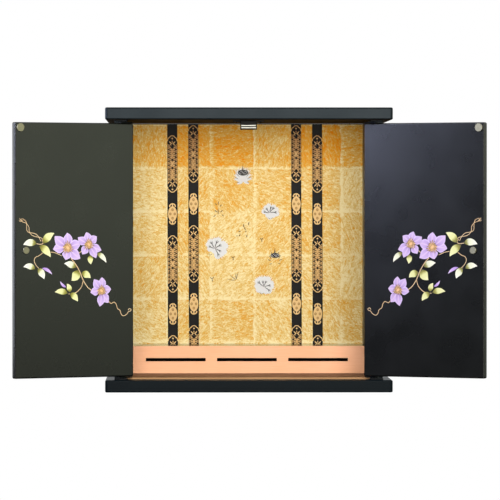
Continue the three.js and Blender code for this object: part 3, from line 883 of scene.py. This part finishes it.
panel_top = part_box("gold_panel")[1][2] / MM
strip_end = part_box("step_top")[1][2] / MM
painting = new_painting()
for middle, first in STRIP_TOPS.items():
    band = line_path((middle, panel_top), (middle, strip_end))
    stroke(painting, band, even(STRIP_MM), 0, BLACK_BAND, 1, 1)
    top = first
    while top > strip_end:
        drawn = len(painting.verts)
        painting.from_mesh(stamp)
        painting.verts.ensure_lookup_table()
        bmesh.ops.translate(painting, verts=painting.verts[drawn:], vec=(middle, top, 0))
        top -= FIGURE_MM + MEDALLION_MM + 2 * BLACK_GAP_MM
for vert in painting.verts:
    vert.co.x -= math.tan(LEAN) * (vert.co.y - strip_end)
everything = painting.verts[:] + painting.edges[:] + painting.faces[:]
bmesh.ops.bisect_plane(painting, geom=everything, plane_co=(0, strip_end, 0), plane_no=(0, -1, 0),
                       clear_outer=True)
finish_painting(painting, "ornament_strips", STRIP_PAINTS, lay_on_panel(), "cabinet")

# %% [markdown]
# ## Small flowers on the gold
# Between the strips float a few loose flowers: water lilies with a dark bun of stamens, white
# blooms with dark veins, and little tufts of grass. They are drawn with the same strokes. The
# white is opaque, the veins are ink black and the grass is a thin brown. Behind the white petals
# lie short faint strokes, which soften their outline on the gold.

# %% Lilies, blooms and tufts
MARK_PAINTS = [stroke_paint("white petal paint", [(0.0, "#fbf8f8"), (0.5, "#ffffff")], streak=0.1),
               stroke_paint("ink black vein paint", [(0.0, "#0c0b08"), (0.8, "#26221a")]),
               stroke_paint("brown grass paint", [(0.0, "#3a2a08"), (0.8, "#6e5014")]),
               stroke_paint("faint rim paint", [(0.0, "#f0dcc0"), (0.9, "#f4e6da")])]
WHITE_PETAL, DARK_VEIN, BROWN_BLADE, FAINT_RIM = range(len(MARK_PAINTS))
print("paints for the small flowers:", len(MARK_PAINTS))


def fan(painting, root, tips, width, layer, finish, start=0.0, bend=0.04):
    """Strokes from a root to each tip, given as angle and length; start skips the first share."""
    root = Vector(root)
    for angle, length in tips:
        way = polar(angle, length)
        path = line_path(root + way * start, root + way, bend)
        stroke(painting, path, leaf_width(width, 0.9), layer, finish, 8, 2)


def lily(painting, centre, size, white):
    """A water lily: narrow petals fanned up from its root round a hatched bun."""
    x, y = centre
    root = (x, y - 0.31 * size)
    half = [(-23, 0.34), (17, 0.49), (42, 0.58), (62, 0.72), (79, 0.74)]
    petals = half + [(180 - angle, share) for angle, share in half]
    if white:
        for index, (angle, share) in enumerate(petals):
            fan(painting, root, [(angle, share * size)], 0.17 * size, 0.3 * index, WHITE_PETAL)
            rim = [(angle + turn, 1.1 * share * size) for turn in (-7, 7)]
            fan(painting, root, rim, 1.5, 0.3 * (index % 2) - 0.6, FAINT_RIM, 0.55)
        fan(painting, root, [(90, 0.4 * size)], 0.22 * size, 3.4, WHITE_PETAL)
    veins = [(angle + 9, (share + 0.04) * size) for angle, share in half]
    veins += [(180 - angle, reach) for angle, reach in veins] + [(90, 0.95 * size)]
    fan(painting, root, veins, 0.7 if white else 1.0, 4, DARK_VEIN, 0.45 if white else 0.52)
    dot(painting, (x, y + 0.15 * size), 0.29 * size, 4.5, DARK_VEIN, 0.56)
    for hatch in range(12):
        place = (x + (hatch - 5.5) * 0.04 * size, y + (0.06 + 0.06 * (hatch % 3)) * size)
        fan(painting, place, [(50 + 80 * (hatch % 2), 2.6)], 0.4, 5, WHITE_PETAL)


def bloom(painting, root, petals, petal_mm, veins):
    """A white bloom: rounded petals from a root, and dark veins that fork near their ends."""
    for index, (angle, length) in enumerate(petals):
        path = line_path(root, Vector(root) + polar(angle, length), 0.05 * (-1) ** index)
        stroke(painting, path, leaf_width(petal_mm, 1.9, 0.55), 0.3 * index, WHITE_PETAL, 12, 4)
        rim = [(angle + turn, 1.12 * length) for turn in (-10, 0, 10)]
        fan(painting, root, rim, 1.6, 0.3 * (index % 2) - 0.6, FAINT_RIM, 0.6)
    for angle, length in veins:
        fan(painting, root, [(angle, length)], 1.1, 4.2, DARK_VEIN)
        forks = [(angle - 26, 0.38 * length), (angle + 26, 0.38 * length)]
        fan(painting, Vector(root) + polar(angle, 0.55 * length), forks, 0.85, 4.5, DARK_VEIN)


def blades(painting, root, marks, width=1.0):
    """Short blades of grass: each has its own place from the root, its direction and its length."""
    for x, y, angle, length in marks:
        middle = Vector((root[0] + x, root[1] + y))
        half = polar(angle, 0.66 * length)
        path = line_path(middle - half, middle + half, 0.06)
        stroke(painting, path, leaf_width(1.4 * width), 4, BROWN_BLADE, 6, 1)


# %% Paint the small flowers
painting = new_painting()
lily(painting, (-4.4, 328), 29, True)
lily(painting, (46, 198.4), 25, False)

# The upper bloom, the large one at the left and the lower one, each with a short stalk
bloom(painting, (37.7, 269.2),
      [(164, 13), (129, 13.5), (95, 15), (61, 14.4), (24, 15.4), (-5, 15), (-42, 10.4),
       (-82, 10.6), (222, 8.4)], 8.5,
      [(169, 11), (127, 10.5), (76, 11.5), (50, 12.6), (3, 12.6)])
fan(painting, (39, 259), [(35, 5), (145, 5)], 0.8, 4.2, BROWN_BLADE)
bloom(painting, (-48.7, 213.1),
      [(176, 12), (148, 16), (120, 17), (90, 17), (63, 19), (32, 20), (11, 22), (-16, 20),
       (-42, 18), (-66, 17.6), (-106, 8)], 10,
      [(158, 11.5), (119, 14.4), (71, 14.8), (29, 13), (-28, 12), (-63, 15.7)])
fan(painting, (-57, 202), [(30, 6), (105, 5)], 0.9, 4.2, BROWN_BLADE)
bloom(painting, (28.6, 152.7),
      [(169, 15), (141, 18), (113, 18), (88, 17), (59, 18), (29, 17), (0, 16), (-33, 14.4),
       (-69, 12), (-115, 11.6), (-156, 14)], 9.5,
      [(137, 14.4), (101, 10.7), (68, 11.3), (13, 12.2), (-36, 13.8)])
fan(painting, (25, 140.5), [(40, 5), (130, 5)], 0.8, 4.2, BROWN_BLADE)

# Grass, from the upper left tuft down to the three small sprigs
blades(painting, (-43, 266.4),
       [(0, 18.2, 90, 4.3), (0, 5.2, 90, 7.7), (-3.7, 16.4, 137, 3.6), (3.9, 14, 50, 3.6),
        (-3.9, 5.6, 141, 4.6), (5.2, 5.3, 40, 4.6), (-6.3, -1.9, 220, 3.8), (6.8, -1.4, -40, 3.4)])
blades(painting, (-3, 245.4),
       [(7.7, 6.7, 75, 4.4), (0, 3.5, 95, 4.8), (1.8, -1.1, 110, 4.2), (-7, -5.2, 170, 3.2),
        (-6.6, -11.7, 45, 3.4), (-10.8, -12.4, 60, 1.6), (4.8, -12.6, 80, 3.6),
        (3.2, -5.6, 70, 2.2)], 1.2)
tuft = [(175, 15), (140, 13.3), (94, 11), (73, 13.5)]
fan(painting, (-14.6, 164), tuft, 1.0, 4, BROWN_BLADE, bend=0.08)
for root, reach in (((25, 227), 4), ((-53, 165), 5), ((-20, 198), 4)):
    fan(painting, root, [(50, reach), (135, reach), (272, reach)], 1.4, 4, BROWN_BLADE)
finish_painting(painting, "painted_marks", MARK_PAINTS, lay_on_panel(), "cabinet")

# %% [markdown]
# ## Studio
# A pale floor, a bright world and five soft lamps light the cabinet. The world is darker at the
# left than at the right, and it shows as wide soft reflections in the open doors. Two of the
# lamps stand at the left and show in the sheen alone, on the left door and on its edge.

# %% Floor and world
FLOOR_HALF_M = 30.0

scene = bpy.context.scene


def pale_floor():
    bm = bmesh.new()
    bmesh.ops.create_grid(bm, x_segments=1, y_segments=1, size=FLOOR_HALF_M)
    mesh = bpy.data.meshes.new("floor")
    bm.to_mesh(mesh)
    bm.free()
    floor = bpy.data.objects.new("floor", mesh)
    scene.collection.objects.link(floor)
    values = {"Roughness": 0.9, "Specular_IOR_Level": 0.1}
    mesh.materials.append(plain_material("pale floor", "#fafafa", **values))
    floor.visible_camera = False
    floor.visible_glossy = False


def soft_world(left, front, right, above, below):
    """A world with a colour for each side; the camera itself sees plain white."""
    world = bpy.data.worlds.new("studio")
    scene.world = world
    world.use_nodes = True
    tree = world.node_tree
    direction = add_node(tree, "ShaderNodeTexCoord").outputs["Generated"]
    axes = add_node(tree, "ShaderNodeSeparateXYZ", {"Vector": direction}).outputs
    colour = ramp(tree, remap(tree, axes["X"], -1.0, 1.0),
                  [(0.1, left), (0.35, front), (0.6, front), (0.9, right)])
    for start, end, tint in ((0.15, 0.7, above), (0.02, -0.08, below)):
        rise = remap(tree, axes["Z"], start, end)
        colour = mix_colours(tree, rise, colour, hex_colour(tint))
    seen = add_node(tree, "ShaderNodeLightPath").outputs["Is Camera Ray"]
    shown = mix_colours(tree, seen, colour, hex_colour("#ffffff"))
    tree.links.new(shown, tree.nodes["Background"].inputs["Color"])


pale_floor()
soft_world(left="#2c2c2c", front="#d2d6d8", right="#f8ffe8", above="#f4f4f4", below="#4a4a4a")
print("world:", scene.world.name)

# %% Lamps
def soft_lamp(name, place, aim, size, power, colour, sheen_only=False):
    """A soft box; one for the sheen alone shows in the lacquer but doesn't light the rest."""
    lamp = bpy.data.objects.new(name, bpy.data.lights.new(name, "AREA"))
    lamp.data.shape = "RECTANGLE"
    lamp.data.size, lamp.data.size_y = size
    lamp.data.energy = power
    lamp.data.color = hex_colour(colour)[:3]
    lamp.location = place
    lamp.rotation_euler = (Vector(aim) - Vector(place)).to_track_quat("-Z", "Y").to_euler()
    lamp.visible_camera = False
    lamp.visible_diffuse = not sheen_only
    scene.collection.objects.link(lamp)
    print(name, "with", power, "W")


soft_lamp("front strip", (-0.1, -1.35, 0.74), (0, 0, 0.3), (2.2, 0.5), 3.0, "#f4f9ff")
soft_lamp("front lamp", (0.12, -2.8, 0.5), (0.05, 0, 0.22), (1.3, 0.9), 40, "#fff8ee")
soft_lamp("right lamp", (2.2, -1.6, 0.85), (-0.27, -0.19, 0.3), (1.6, 1.6), 14, "#f4ffdf")
soft_lamp("left lamp", (-0.93, -0.58, 0.68), (0.27, -0.19, 0.32), (0.35, 0.6), 20, "#d4dcff",
          sheen_only=True)
soft_lamp("left edge lamp", (-0.97, 0.11, 0.43), (-0.36, -0.24, 0.3), (0.3, 0.8), 3.0, "#eef4ff",
          sheen_only=True)
